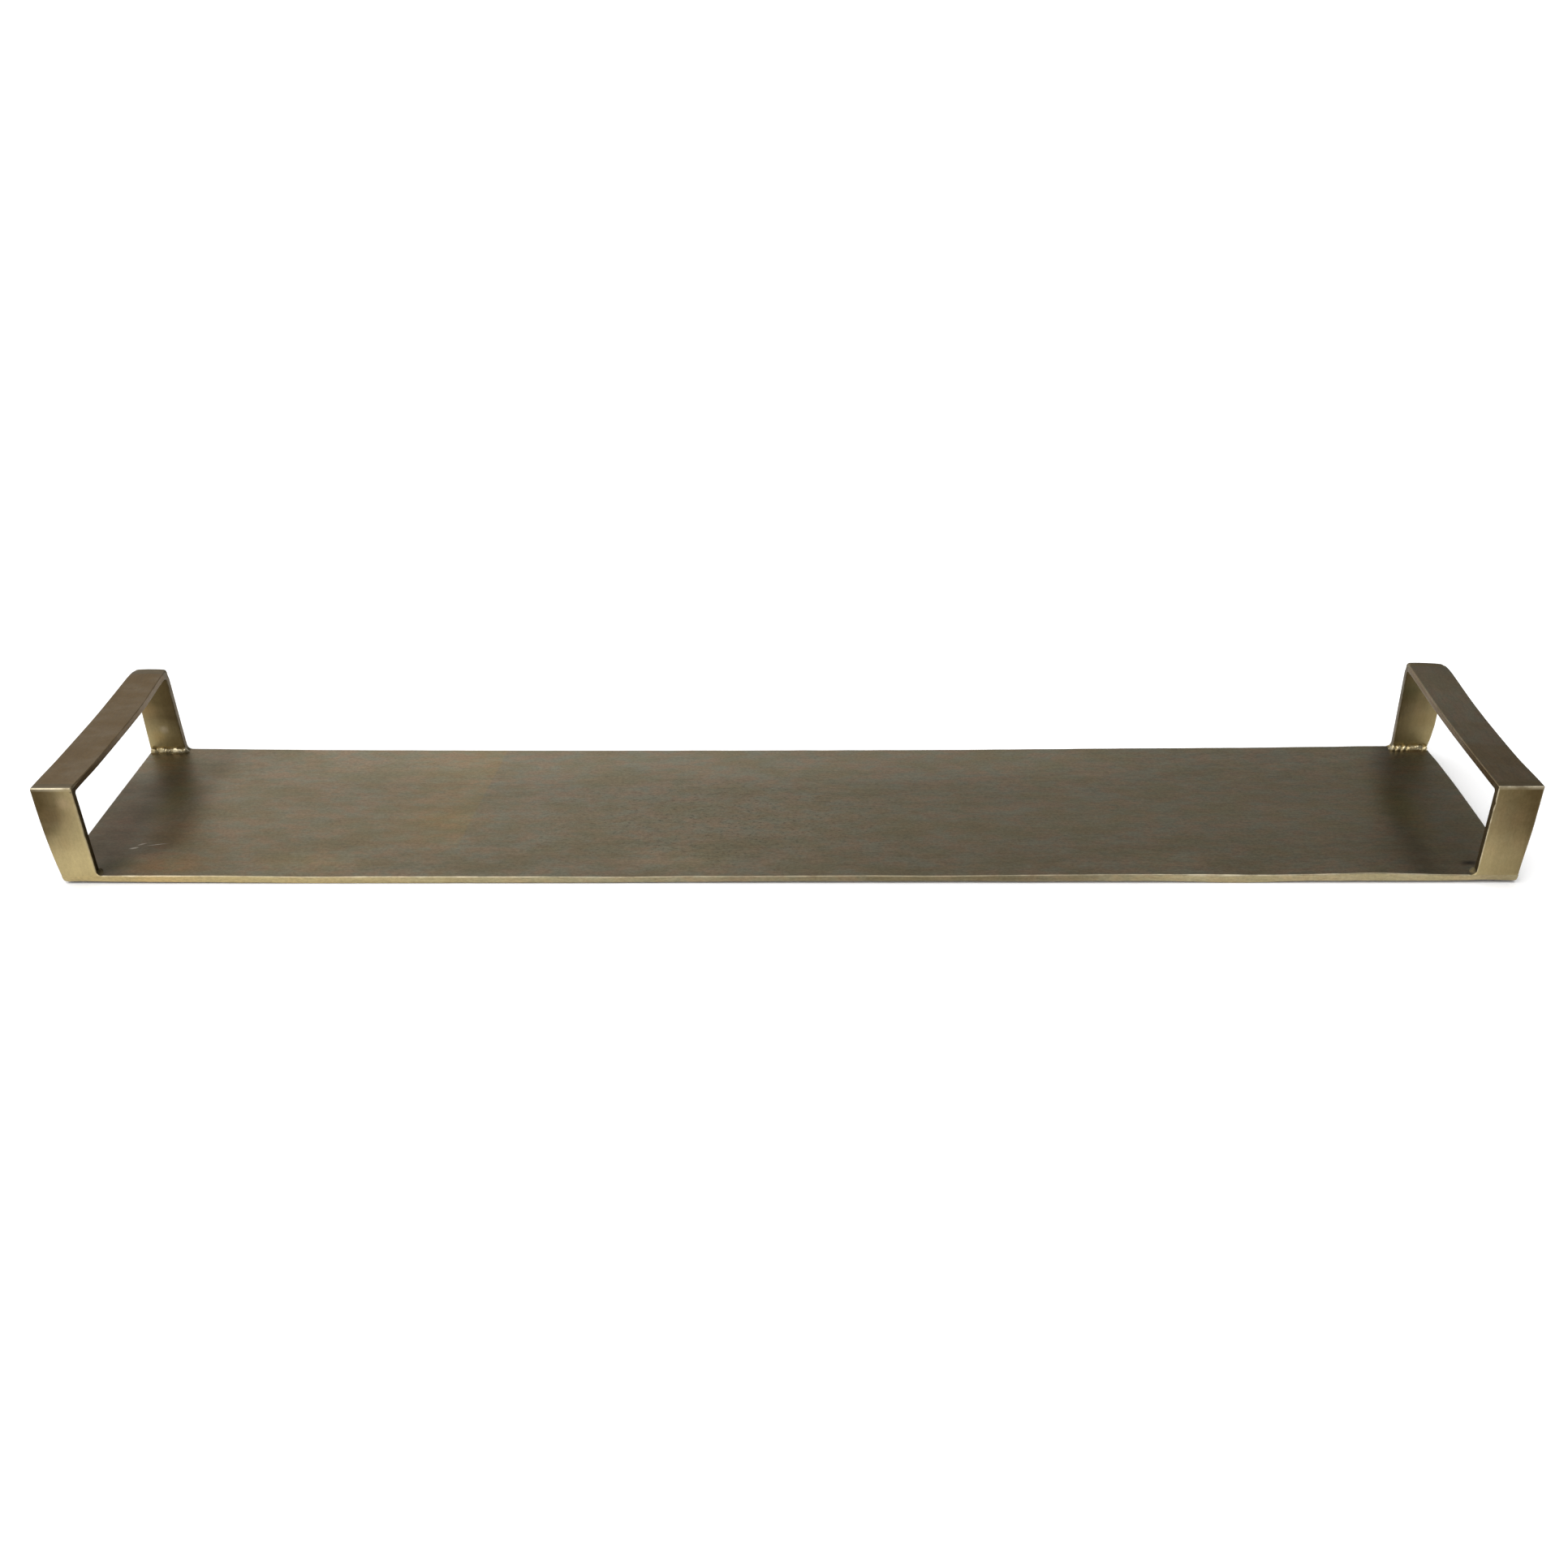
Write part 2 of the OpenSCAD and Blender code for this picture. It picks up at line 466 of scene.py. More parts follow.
# Where the plate's front top arris is rubbed paler, as waves
FRONT_RUBBED = ((0.38, -375, 50), (0.22, -190, 70), (0.42, 250, 45), (0.30, 365, 30))


def front_rubbing(x):
    """How pale the plate's front top arris is rubbed: most near the left handle and at the right."""
    return 0.18 + waves(x, FRONT_RUBBED)


def plate_end_faces(first, across):
    """Fills the plate's front or rear face: quads between top and underside, and its two ends."""
    end_points = 2 * ARC_STEPS
    last = ALONG_STEPS
    under = last + 1 + end_points  # the underside's first point, at the right
    faces = []
    for i in range(last):
        faces.append((first + i, first + i + 1, first + under + last - i - 1, first + under + last - i))
    faces.append([first + i for i in range(last, under + 1)])
    faces.append([first + i for i in range(under + last, across)] + [first])
    return faces


# ---- Handles ----

# Where the points lie along each flat of the bar's section, as shares of its length. They are
# closer at its ends, where the rear corners are rounded.
STRAIGHT_SHARES = (0.05, 0.1, 0.16, 0.3, 0.5, 0.7, 0.84, 0.9, 0.95)
CORNER_STEPS = 24  # round each corner
LEG_STEPS = 36  # up each leg
GRIP_STEPS = 48  # along each grip
# How pale each arris is rubbed: the bar's outer face at the tray's end and towards its middle, then
# its inner face towards the middle and at the end
FRONT_RUBBING = {-1: (0.10, 0.12, 0.05, 0.10), 1: (0.25, 0.50, 0.10, 0.15)}
REST_RUBBING = (0.12, 0.12, 0.12, 0.12)


def bar_section(radii, thickness, rubbing):
    """The bar's rounded section and how worn each point is, given how much each arris is rubbed.

    Points are (distance from the tray's end, depth below the bar's outer face). The radii are
    those of the corners at the tray's end and towards its middle on the outer face, then towards
    the middle and at the end on the inner face.
    """
    corners = ((0, 0), (BAR_W, 0), (BAR_W, thickness), (0, thickness))
    turns = (math.pi, 1.5 * math.pi, 0, 0.5 * math.pi)
    points, rub_and_glint = [], []
    for k in range(4):
        (cx, cy), r, start = corners[k], radii[k], turns[k]
        centre = (cx + (r if cx == 0 else -r), cy + (r if cy == 0 else -r))
        for step in range(ARC_STEPS + 1):
            angle = start + step / ARC_STEPS * math.pi / 2
            points.append((centre[0] + r * math.cos(angle), centre[1] + r * math.sin(angle)))
            rub_and_glint.append(rubbing[k] * (0.35 + 0.65 * math.sin(step / ARC_STEPS * math.pi)))
        begin = np.array(points[-1])
        points += straight_run(begin, corners[(k + 1) % 4], radii[(k + 1) % 4], k)
        rub_and_glint += [0.0] * (len(STRAIGHT_SHARES) + 2)
    return np.array(points), np.array(rub_and_glint)


def straight_run(begin, corner, radius, k):
    """Points along one flat of the section, with one held close to each arris."""
    along = ((1, 0), (0, 1), (-1, 0), (0, -1))[k]
    end = np.array(corner, float) - radius * np.array(along)
    length = np.linalg.norm(end - begin)
    hold = min(0.4, 0.2 * length) / length
    return [tuple(begin + share * (end - begin)) for share in (hold, *STRAIGHT_SHARES, 1 - hold)]


def corner_path(name, end):
    """Stations round a corner, from the leg to the grip: (outer point, inner point) in (y, z)."""
    edge_y = -HALF_WIDTH if end == "front" else HALF_WIDTH
    inward = 1 if end == "front" else -1
    outer_r, crotch_r = CORNER_R[end], CROTCH_R[name, end]
    face_y = edge_y + inward * BAR_T
    inner_z = HANDLE_H - BAR_T
    stations = []
    for step in range(CORNER_STEPS + 1):
        share = step / CORNER_STEPS
        angle = share * math.pi / 2
        inner = (face_y + inward * crotch_r * (1 - math.cos(angle)),
                 inner_z - crotch_r * (1 - math.sin(angle)))
        start = (edge_y, inner_z - crotch_r)
        stop = (face_y + inward * crotch_r, HANDLE_H)
        if share < 0.25:
            t = share / 0.25
            outer = (edge_y, start[1] + t * (HANDLE_H - outer_r - start[1]))
        elif share <= 0.75:
            turn = (share - 0.25) / 0.5 * math.pi / 2
            outer = (edge_y + inward * outer_r * (1 - math.cos(turn)),
                     HANDLE_H - outer_r * (1 - math.sin(turn)))
        else:
            t = (share - 0.75) / 0.25
            begin = edge_y + inward * outer_r
            outer = (begin + t * (stop[0] - begin), HANDLE_H)
        on_bend = hill(share, 0.5, 0.22) if 0.2 < share < 0.8 else 0.0
        stations.append((outer, inner, on_bend))
    return stations


def leg_path(name, end):
    """Stations up a leg, from the plate to the corner weld."""
    edge_y = -HALF_WIDTH if end == "front" else HALF_WIDTH
    face_y = edge_y + (BAR_T if end == "front" else -BAR_T)
    heights = np.linspace(PLATE_T, HANDLE_H - BAR_T - CROTCH_R[name, end], LEG_STEPS + 1)
    return [((edge_y, z), (face_y, z), 0.0) for z in heights]


def grip_path(name):
    """Stations along a grip, from its front to its rear corner weld."""
    face_y = HALF_WIDTH - BAR_T
    stops = np.linspace(CROTCH_R[name, "front"] - face_y, face_y - CROTCH_R[name, "rear"],
                        GRIP_STEPS + 1)
    return [((y, HANDLE_H), (y, HANDLE_H - BAR_T), 0.0) for y in stops]


def section_radii(side, outer):
    """The arris radii of the bar's section at one station."""
    y, z = outer
    towards_rear = ramp(y, HALF_WIDTH - 7, HALF_WIDTH - 0.5) * ramp(z, HANDLE_H - 7, HANDLE_H - 1)
    outer_r = ARRIS + (REAR_ARRIS["outer"] - ARRIS) * towards_rear
    inner_r = ARRIS + (REAR_ARRIS["inner"] - ARRIS) * towards_rear
    if side < 0:
        inner_r += (BLUNT_ARRIS - ARRIS) * ramp(y, 20 - HALF_WIDTH, 2 - HALF_WIDTH)
    fillet = FOOT_FILLET[side]
    foot = ramp(z, PLATE_T + fillet + 0.6, PLATE_T + fillet - 0.6)
    inner_r = inner_r * (1 - foot) + TIGHT * foot
    return (outer_r, inner_r, ARRIS, ARRIS)


def bar_piece(node, side, stations, material):
    """One length of a handle, skinned over its stations."""
    rings, rub_and_glint_values = [], []
    for outer, inner, on_bend in stations:
        thickness = math.dist(outer, inner)
        at_front = outer[0] < 0
        rubbing = FRONT_RUBBING[side] if at_front and outer[1] < HANDLE_H - 1 else REST_RUBBING
        section, rub_and_glint = bar_section(section_radii(side, outer), thickness, rubbing)
        share = (section[:, 1] / thickness)[:, None]
        place = np.array(outer) + share * (np.array(inner) - np.array(outer))
        x = side * (HALF_LENGTH - section[:, 0])
        rings.append(np.stack([x, place[:, 0], place[:, 1]], 1))
        on_outer = section[:, 1] < 0.5
        rub_and_glint_values.append(np.maximum(rub_and_glint, on_outer * on_bend * (0.85 if at_front else 0.1)))
    across = len(rings[0])
    faces = tube_faces(len(rings), across)
    faces.append(list(range(across)))
    faces.append([(len(rings) - 1) * across + j for j in range(across)])
    brass_piece(node, np.concatenate(rings), faces, np.concatenate(rub_and_glint_values), material)


def handle(side):
    """The two legs, two corner welds and grip of one handle."""
    name = SIDES[side]
    for end in ("front", "rear"):
        bar_piece(f"{name}_{end}_leg", side, leg_path(name, end), LEG_BRASS)
        corner = corner_path(name, end)
        bar_piece(f"{name}_{end}_corner_weld", side, corner, LEG_BRASS)
    bar_piece(f"{name}_grip_bar", side, grip_path(name), GRIP_BRASS)


# ---- Root welds ----

# Where one ripple of a bead ends and the next begins, from the tray's end along the leg's foot
BEAD_BREAKS = {
    ("left", "front"): (0, 7, 13, 19, 24.5),
    ("left", "rear"): (0, 6, 15, 22, 26),
    ("right", "front"): (0, 5, 12, 18, 24),
    ("right", "rear"): (0, 4.5, 15, 18.5, 22, 26),
}
BEAD_ACROSS = 10  # steps across a bead
REAR_BEAD = 3.3  # height and width of the rear beads
BEAD_TURN = 2.4  # length over which a bead turns the leg's corner
BURIED = 0.35  # how far a bead's back lies inside the metal


def lump(distance, breaks):
    """Height of the weld ripple at a distance along the bead, from 0 between runs to 1."""
    for start, end in zip(breaks, breaks[1:]):
        if start <= distance < end:
            return math.sin((distance - start) / (end - start) * math.pi) ** 0.55
    return 0.0


def root_weld(side, end):
    """A lumpy bead along a leg's inner face, which turns its corner and ends flush at the edge."""
    name = SIDES[side]
    breaks = BEAD_BREAKS[name, end]
    facing = 1 if end == "front" else -1
    face_y = -facing * (HALF_WIDTH - BAR_T)
    fillet = FOOT_FILLET[side]
    bead = REAR_BEAD if end == "rear" else fillet
    turn_from, turn_to, run = BAR_W, BAR_W + BEAD_TURN, BAR_T
    rings, rub_and_glint_values = [], []
    distances = np.concatenate([np.linspace(0.4, turn_from, 46),
                                np.linspace(turn_from, turn_to, 9)[1:],
                                turn_to + np.linspace(0, run, 9)[1:]])
    for distance in distances:
        turned = np.clip((distance - turn_from) / (turn_to - turn_from), 0, 1) * math.pi / 2
        along_y = max(0.0, distance - turn_to)
        foot_x = side * (HALF_LENGTH - min(distance, BAR_W))
        foot_y = face_y - facing * along_y
        way = (-side * math.sin(turned), facing * math.cos(turned))
        smooth = ramp(distance, turn_from, turn_to + 0.5 * run)
        section = []
        for t in np.linspace(0, 1, BEAD_ACROSS + 1):
            raised = lump(distance + 1.8 * t, breaks)
            ragged = 0.10 * noise.noise((distance * 0.8, t * 1.5, 5.0 * side))
            size = bead * (0.80 + 0.20 * raised + ragged) * (1 - smooth) + fillet * smooth
            starts = 0.55 + 0.45 * ramp(distance, 0.4, 1.6)
            bulge = (0.12 + 0.30 * raised) * (1 - smooth) - 0.29 * smooth
            swell = size * bulge * 4 * t * (1 - t) / math.sqrt(2)
            section.append((starts * (size * (1 - t) + swell), starts * (size * t + swell)))
        buried = BURIED if along_y < run - 0.7 else 0.0
        section[0] = (section[0][0], -0.5 * buried)
        section[-1] = (-0.5 * buried, section[-1][1])
        section.append((-buried, -buried))
        # painted highlight: cream glints on the crest of each ripple of the rear beads, stored with the
        # rubbed arrises
        raised = lump(distance + 0.9, breaks) * (1 - smooth)
        shine = 0.12 + 0.55 * raised if end == "rear" else 0.0
        rub_and_glint_values += [shine * math.sin(math.pi * t) for t in np.linspace(0, 1, BEAD_ACROSS + 1)] + [0.0]
        rings.append([(foot_x + way[0] * out, foot_y + way[1] * out, PLATE_T + up) for out, up in section])
    rings = np.array(rings)
    across = rings.shape[1]
    faces = tube_faces(len(rings), across)
    faces.append(list(range(across)))
    faces.append([(len(rings) - 1) * across + j for j in range(across)])
    points = rings.reshape(-1, 3)
    brass_piece(f"{name}_{end}_root_weld", points, faces, np.array(rub_and_glint_values), BEAD_BRASS)


# ---- Materials ----


NOISE_LOW, NOISE_HIGH = 0.3, 0.7  # nearly all of a noise's values lie between these
BUMP_STRENGTH, BUMP_DEPTH = 0.22, 0.00012


class Graph:
    """A material's nodes, made by short calls. An input is a number, a colour or a socket."""

    def __init__(self, tree):
        self.tree = tree

    def node(self, kind, inputs=(), **settings):
        made = self.tree.nodes.new(kind)
        for key, value in settings.items():
            setattr(made, key, value)
        for key, value in dict(inputs).items():
            self.put(value, made.inputs[key])
        return made

    def put(self, value, socket):
        if isinstance(value, bpy.types.NodeSocket):
            self.tree.links.new(value, socket)
        else:
            socket.default_value = value

    def position(self):
        return self.node("ShaderNodeTexCoord").outputs["Object"]

    def mark(self, name):
        return self.node("ShaderNodeAttribute", attribute_name=name).outputs["Fac"]

    def math(self, operation, a, b):
        return self.node("ShaderNodeMath", {0: a, 1: b}, operation=operation).outputs[0]

    def span(self, value, low, high, out_low=0.0, out_high=1.0):
        """Maps low..high to out_low..out_high, smoothly and without going past either."""
        made = self.node("ShaderNodeMapRange", {0: value, 1: low, 2: high, 3: out_low, 4: out_high},
                         interpolation_type="SMOOTHSTEP")
        return made.outputs[0]

    def swing(self, value, low, high):
        """Spreads the usual range of a noise over low..high."""
        return self.span(value, NOISE_LOW, NOISE_HIGH, low, high)

    def noise(self, position, size, seed=0.0, detail=3.0, rough=0.55):
        """Noise from 0 to 1 whose features have the given size along X, Y and Z, in metres."""
        scaled = self.node("ShaderNodeMapping", {"Vector": position, "Location": (seed, seed, seed),
                                                 "Scale": tuple(1 / s for s in size)})
        made = self.node("ShaderNodeTexNoise", {"Vector": scaled.outputs[0], "Scale": 1.0,
                                                "Detail": detail, "Roughness": rough})
        return made.outputs[0]

    def mix(self, share, a, b, blend="MIX"):
        made = self.node("ShaderNodeMix", data_type="RGBA", blend_type=blend)
        for key, value in ((0, share), (6, a), (7, b)):
            self.put((*value, 1) if isinstance(value, tuple) else value, made.inputs[key])
        return made.outputs[2]

    def shade(self, colour, factor):
        """Multiplies a colour by a number."""
        made = self.node("ShaderNodeVectorMath", {0: colour}, operation="SCALE")
        self.put(factor, made.inputs["Scale"])
        return made.outputs[0]

    def spot(self, position, centre, radii, turn=0.0):
        """A soft oval patch: 1 at its centre and 0 outside its radii, all in metres."""
        local = self.node("ShaderNodeMapping", {"Vector": position, "Location": centre,
                                                "Rotation": (0, 0, turn), "Scale": radii},
                          vector_type="TEXTURE")
        distance = self.node("ShaderNodeVectorMath", {0: local.outputs[0]}, operation="LENGTH")
        return self.span(distance.outputs["Value"], 0.0, 1.0, 1.0, 0.0)


def brass(name, brushed, patina, aged_and_shaded, bare_and_floor_sheen, cream, roughness, lines, clouds, marks=None):
    """Aged brass, brushed along one axis and clouded; darker where it is aged and where shade and
    reflections are painted, pale where it is bare or rubbed, where the floor's reflection is painted and
    where glints are painted on the rear beads.

    The patina is three colours. Lines and clouds are how strongly each shows.
    """
    material = bpy.data.materials.new(name)
    material.use_nodes = True
    tree = material.node_tree
    tree.nodes.clear()
    g = Graph(tree)
    position = g.position()

    def along(length, width):
        return tuple(length if axis == brushed else width for axis in range(3))

    streaks = g.noise(position, along(0.055, 0.006), 3.1, 4.0, 0.6)
    blotches = g.noise(position, (0.034, 0.020, 0.016), 7.7, 4.0, 0.6)
    tint = g.noise(position, along(0.012, 0.006), 57.0, 3.0, 0.6)
    hair = g.noise(position, along(0.012, 0.0009), 11.3, 3.0, 0.65)
    grain = g.noise(position, along(0.0018, 0.0010), 23.9, 3.0, 0.7)
    cool, olive, warm = patina
    colour = g.mix(g.span(tint, 0.36, 0.64), cool, warm)
    colour = g.mix(g.span(blotches, 0.38, 0.66, 0.0, 0.6), colour, olive)
    # dark share: patina, with painted shade and painted reflections
    dark_share = g.math("ADD", g.mark("aged_and_shaded"), g.span(blotches, 0.35, 0.65, -clouds, clouds))
    colour = g.mix(dark_share, colour, aged_and_shaded)
    # pale share: bare metal, with a painted reflection of the floor on the front legs
    pale_share = g.math("ADD", g.mark("bare_and_floor_sheen"), g.swing(streaks, -0.06, 0.06))
    pale_share = g.math("MULTIPLY", g.mark("bare_and_floor_sheen"), g.span(pale_share, 0.0, 0.3, 0.5, 1.0))
    colour = g.mix(pale_share, colour, bare_and_floor_sheen)
    value = g.math("ADD", g.swing(hair, -lines, lines),
                   g.swing(grain, -2 * lines, 2 * lines))
    value = g.math("ADD", value, g.swing(streaks, 0.96, 1.04))
    height = g.math("ADD", g.math("MULTIPLY", hair, 0.5), g.math("MULTIPLY", grain, 0.5))
    if marks:
        colour, value, height = marks(g, position, colour, value, height)
    colour = g.shade(colour, value)
    rubbed = g.noise(position, (0.010, 0.010, 0.004), 31.0, 3.0)
    # pale rubbed arrises, with painted glints on the rear beads' ripples
    rub_and_glint = g.math("MULTIPLY", g.mark("wear_and_glint"), g.span(rubbed, 0.35, 0.62, 0.3, 1.0))
    colour = g.mix(rub_and_glint, colour, cream)
    rough = g.math("ADD", g.swing(blotches, roughness - 0.02, roughness + 0.03),
                   g.swing(hair, -0.02, 0.02))
    rough = g.math("SUBTRACT", rough, g.math("MULTIPLY", rub_and_glint, 0.1))
    bump = g.node("ShaderNodeBump", {"Strength": BUMP_STRENGTH, "Distance": BUMP_DEPTH,
                                        "Height": height})
    shader = g.node("ShaderNodeBsdfPrincipled", {"Base Color": colour, "Metallic": 1.0,
                                                 "Roughness": rough, "Normal": bump.outputs[0]})
    output = g.node("ShaderNodeOutputMaterial")
    tree.links.new(shader.outputs[0], output.inputs[0])
    return material


def plate_marks(g, position, colour, value, height):
    """What happened to the plate: pits, a wiped border, brown and warm patches and scratches."""
    where = g.node("ShaderNodeSeparateXYZ", {0: position}).outputs
    pitted = g.spot(position, (-0.03, -0.014, 0), (0.16, 0.075, 1))
    pitted = g.math("ADD", g.math("MULTIPLY", pitted, 0.75), 0.25)
    flecks = g.noise(position, (0.0026, 0.0011, 0.0011), 41.0, 2.0, 0.6)
    dark = g.math("MULTIPLY", g.span(flecks, 0.55, 0.68), pitted)
    pale = g.math("MULTIPLY", g.span(flecks, 0.44, 0.33), pitted)
    value = g.math("ADD", value, g.math("SUBTRACT", g.math("MULTIPLY", pale, 0.13),
                                        g.math("MULTIPLY", dark, 0.38)))
    height = g.math("SUBTRACT", height, g.math("MULTIPLY", dark, 0.7))
    # everything left of the border was wiped a little paler and warmer
    border = g.math("SUBTRACT", where[0], g.math("MULTIPLY", where[1], 0.08))
    wiped = g.math("MULTIPLY", g.span(border, -0.1793, -0.1813), g.span(border, -0.255, -0.183))
    wiped = g.math("MULTIPLY", wiped, g.span(where[1], -0.055, -0.030))
    value = g.math("ADD", value, g.math("MULTIPLY", wiped, 0.09))
    colour = g.mix(wiped, colour, (1.03, 0.97, 0.86), "MULTIPLY")
    colour = g.mix(g.span(where[0], -0.16, -0.30), colour, (1.00, 0.965, 0.915), "MULTIPLY")
    for centre, radii, turn, tint in (
        ((-0.195, -0.014, 0), (0.040, 0.016, 1), 0.0, (1.06, 1.00, 0.90)),
        ((-0.372, -0.062, 0), (0.016, 0.010, 1), 0.2, (0.62, 0.70, 0.55)),
        ((-0.385, -0.018, 0), (0.018, 0.030, 1), 0.0, (0.98, 0.84, 0.78)),
        ((-0.345, -0.062, 0), (0.036, 0.018, 1), 0.0, (1.24, 1.05, 0.84)),
        ((-0.262, -0.058, 0), (0.045, 0.018, 1), 0.0, (1.20, 1.18, 1.10)),
        ((-0.055, -0.056, 0), (0.050, 0.018, 1), 0.0, (1.16, 1.17, 1.15)),
        ((0.214, -0.060, 0), (0.040, 0.016, 1), 0.0, (1.16, 1.15, 1.12)),
        ((-0.352, -0.028, 0), (0.020, 0.034, 1), 0.2, (1.00, 0.86, 0.72)),
        ((-0.364, 0.010, 0), (0.014, 0.040, 1), 0.0, (0.90, 0.92, 0.70)),
        ((0.360, 0.000, 0), (0.018, 0.060, 1), 0.1, (0.95, 0.96, 0.75)),
        ((0.378, -0.0605, 0), (0.008, 0.0035, 1), 0.1, (0.2, 0.2, 0.18)),
    ):
        colour = g.mix(g.spot(position, centre, radii, turn), colour, tint, "MULTIPLY")
    scratches = 0.0
    for centre, radii, turn in (
        ((-0.3678, -0.0442, 0), (0.0036, 0.0012, 1), 0.30),
        ((-0.3648, -0.0402, 0), (0.0034, 0.0009, 1), 0.50),
        ((-0.3560, -0.0405, 0), (0.0080, 0.0005, 1), 0.22),
    ):
        scratches = g.math("ADD", g.spot(position, centre, radii, turn), scratches)
    scratches = g.math("MULTIPLY", scratches, 0.75)
    colour = g.mix(scratches, colour, (0.44, 0.39, 0.32))
    return colour, value, height


def leg_marks(g, position, colour, value, height):
    """Brown blotches, a pale burn left by the torch and a pore in the left front corner."""
    for centre, radius, share, tint in (
        ((-0.3885, 0.0685, 0.0205), 0.0040, 0.45, (0.440, 0.370, 0.264)),
        ((-0.393, 0.0685, 0.015), 0.0070, 0.55, (0.317, 0.220, 0.088)),
        ((-0.396, 0.0685, 0.034), 0.0080, 0.45, (0.211, 0.132, 0.053)),
        ((-0.384, 0.0685, 0.012), 0.0050, 0.45, (0.264, 0.194, 0.088)),
        ((-0.384, -0.0725, 0.052), 0.0060, 0.35, (0.370, 0.264, 0.158)),
        ((-0.393, -0.0725, 0.044), 0.0080, 0.40, (0.097, 0.058, 0.025)),
        ((-0.390, -0.0725, 0.026), 0.0070, 0.30, (0.229, 0.158, 0.070)),
        ((0.391, -0.0725, 0.040), 0.0080, 0.35, (0.132, 0.088, 0.042)),
        ((0.396, -0.0725, 0.026), 0.0080, 0.30, (0.176, 0.123, 0.062)),
        ((0.382, 0.0685, 0.046), 0.0110, 0.55, (0.066, 0.062, 0.028)),
        ((0.393, 0.0685, 0.026), 0.0090, 0.35, (0.238, 0.167, 0.070)),
        ((-0.3790, -0.0722, 0.0588), 0.0009, 0.95, (0.026, 0.022, 0.013)),
    ):
        patch = g.spot(position, centre, (radius, radius, radius))
        colour = g.mix(g.math("MULTIPLY", patch, share), colour, tint)
    return colour, value, height


ALONG_TRAY, ALONG_GRIP, ALONG_LEG = 0, 1, 2

PLATE_BRASS = brass(
    "plate_brass", ALONG_TRAY,
    patina=((0.203, 0.191, 0.136), (0.206, 0.178, 0.100), (0.240, 0.180, 0.119)),
    aged_and_shaded=(0.042, 0.030, 0.016), bare_and_floor_sheen=(0.440, 0.361, 0.185), cream=(0.792, 0.704, 0.510),
    roughness=0.42, lines=0.07, clouds=0.05, marks=plate_marks)
LEG_BRASS = brass(
    "leg_brass", ALONG_LEG,
    patina=((0.167, 0.132, 0.070), (0.165, 0.132, 0.062), (0.180, 0.130, 0.066)),
    aged_and_shaded=(0.070, 0.048, 0.019), bare_and_floor_sheen=(0.440, 0.354, 0.176), cream=(0.792, 0.704, 0.510),
    roughness=0.40, lines=0.03, clouds=0.12, marks=leg_marks)
GRIP_BRASS = brass(
    "grip_brass", ALONG_GRIP,
    patina=((0.160, 0.143, 0.099), (0.158, 0.132, 0.081), (0.180, 0.136, 0.090)),
    aged_and_shaded=(0.096, 0.058, 0.018), bare_and_floor_sheen=(0.458, 0.378, 0.211), cream=(0.528, 0.458, 0.317),
    roughness=0.42, lines=0.05, clouds=0.14)
BEAD_BRASS = brass(
    "bead_brass", ALONG_TRAY,
    patina=((0.360, 0.285, 0.150), (0.325, 0.260, 0.115), (0.385, 0.285, 0.130)),
    aged_and_shaded=(0.075, 0.060, 0.030), bare_and_floor_sheen=(0.570, 0.470, 0.260), cream=(0.780, 0.690, 0.480),
    roughness=0.34, lines=0.05, clouds=0.10)

base_plate()
for tray_side in SIDES:
    handle(tray_side)
    for tray_end in ("front", "rear"):
        root_weld(tray_side, tray_end)

# ---- Floor, light and camera ----

FLOOR_REACH = 30.0  # metres
FLOOR_WHITE = 0.94
FAR_LEFT, FAR_RIGHT, OVERHEAD = 1.08, 0.25, 0.40  # brightness of the studio, and what is added above
SUN_WAY, SUN_SPREAD, SUN_STRENGTH = (0.15, 0.2, -1.0), 70, 1.82
CAMERA_AT = (16.7, -768.4, 472.3)  # millimetres, above the ground line of the flat tray
YAW, PITCH, ROLL = math.radians(-1.2), math.radians(30.51), math.radians(-0.71)
SENSOR_WIDTH, LENS = 36, 35.14


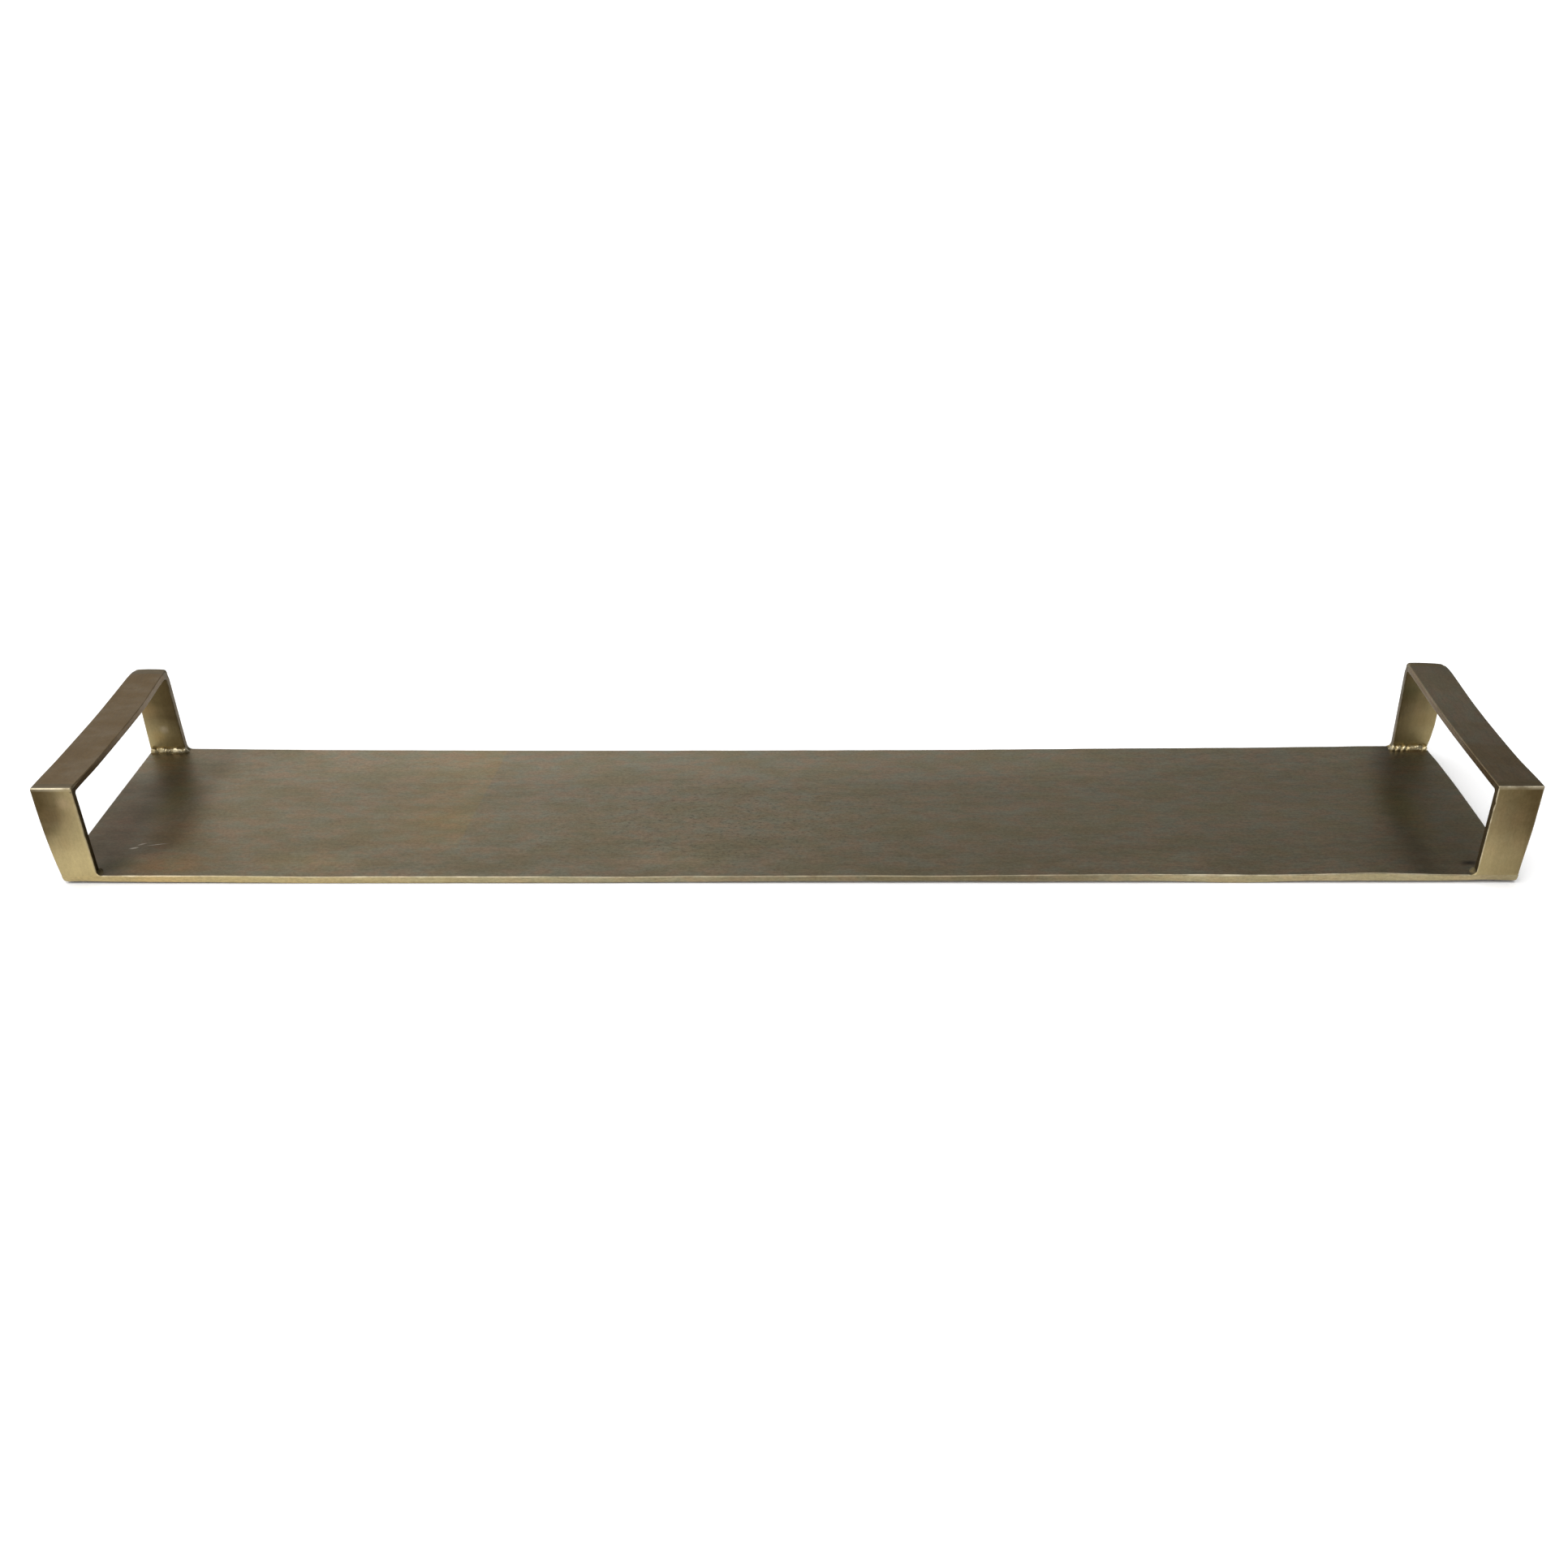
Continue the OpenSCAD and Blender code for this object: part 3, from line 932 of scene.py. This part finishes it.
def floor():
    """A plain pale floor that fills the view."""
    mesh = bpy.data.meshes.new("floor")
    corners = [(x * FLOOR_REACH, y * FLOOR_REACH, 0) for x, y in ((-1, -1), (1, -1), (1, 1), (-1, 1))]
    mesh.from_pydata(corners, [], [(0, 1, 2, 3)])
    material = bpy.data.materials.new("pale_floor")
    material.use_nodes = True
    shader = material.node_tree.nodes["Principled BSDF"]
    shader.inputs["Base Color"].default_value = (FLOOR_WHITE, FLOOR_WHITE, FLOOR_WHITE, 1)
    shader.inputs["Roughness"].default_value = 0.9
    shader.inputs["Specular IOR Level"].default_value = 0.1
    mesh.materials.append(material)
    ground = bpy.data.objects.new("floor", mesh)
    bpy.context.scene.collection.objects.link(ground)


def soft_world():
    """A white studio whose far left is brighter than its far right."""
    world = bpy.data.worlds.new("studio")
    bpy.context.scene.world = world
    world.use_nodes = True
    g = Graph(world.node_tree)
    direction = g.node("ShaderNodeTexCoord").outputs["Generated"]
    parts = g.node("ShaderNodeSeparateXYZ", {0: direction}).outputs
    sideways = g.span(parts[0], -0.5, 0.5, FAR_LEFT, FAR_RIGHT)
    up = g.span(parts[2], 0.5, 0.95, 0.0, OVERHEAD)
    level = g.math("ADD", sideways, up)
    background = world.node_tree.nodes["Background"]
    g.put(level, background.inputs["Strength"])
    background.inputs["Color"].default_value = (1.0, 1.0, 1.0, 1)


def soft_sun():
    """A broad, even light from high up on the left and in front."""
    light = bpy.data.lights.new("overhead", "SUN")
    light.angle = math.radians(SUN_SPREAD)
    light.energy = SUN_STRENGTH
    holder = bpy.data.objects.new("overhead", light)
    holder.rotation_euler = Vector(SUN_WAY).to_track_quat("-Z", "Y").to_euler()
    bpy.context.scene.collection.objects.link(holder)


def camera():
    """The viewing angle: from above the front, a little to the right of the middle."""
    forward = Vector((math.sin(YAW) * math.cos(PITCH), math.cos(YAW) * math.cos(PITCH), -math.sin(PITCH)))
    level = Vector((math.cos(YAW), -math.sin(YAW), 0))
    above = level.cross(forward)
    right = level * math.cos(ROLL) + above * math.sin(ROLL)
    up = above * math.cos(ROLL) - level * math.sin(ROLL)
    place = (Vector(CAMERA_AT) + Vector((0, 0, LIFT))) * MM
    data = bpy.data.cameras.new("camera")
    data.sensor_width = SENSOR_WIDTH
    data.lens = LENS
    data.clip_start = 0.01
    viewer = bpy.data.objects.new("camera", data)
    turned = Matrix((right, up, -forward)).transposed().to_4x4()
    viewer.matrix_world = Matrix.Translation(place) @ turned
    bpy.context.scene.collection.objects.link(viewer)
    bpy.context.scene.camera = viewer


floor()
soft_world()
soft_sun()
camera()
bpy.context.scene.view_settings.view_transform = "Standard"
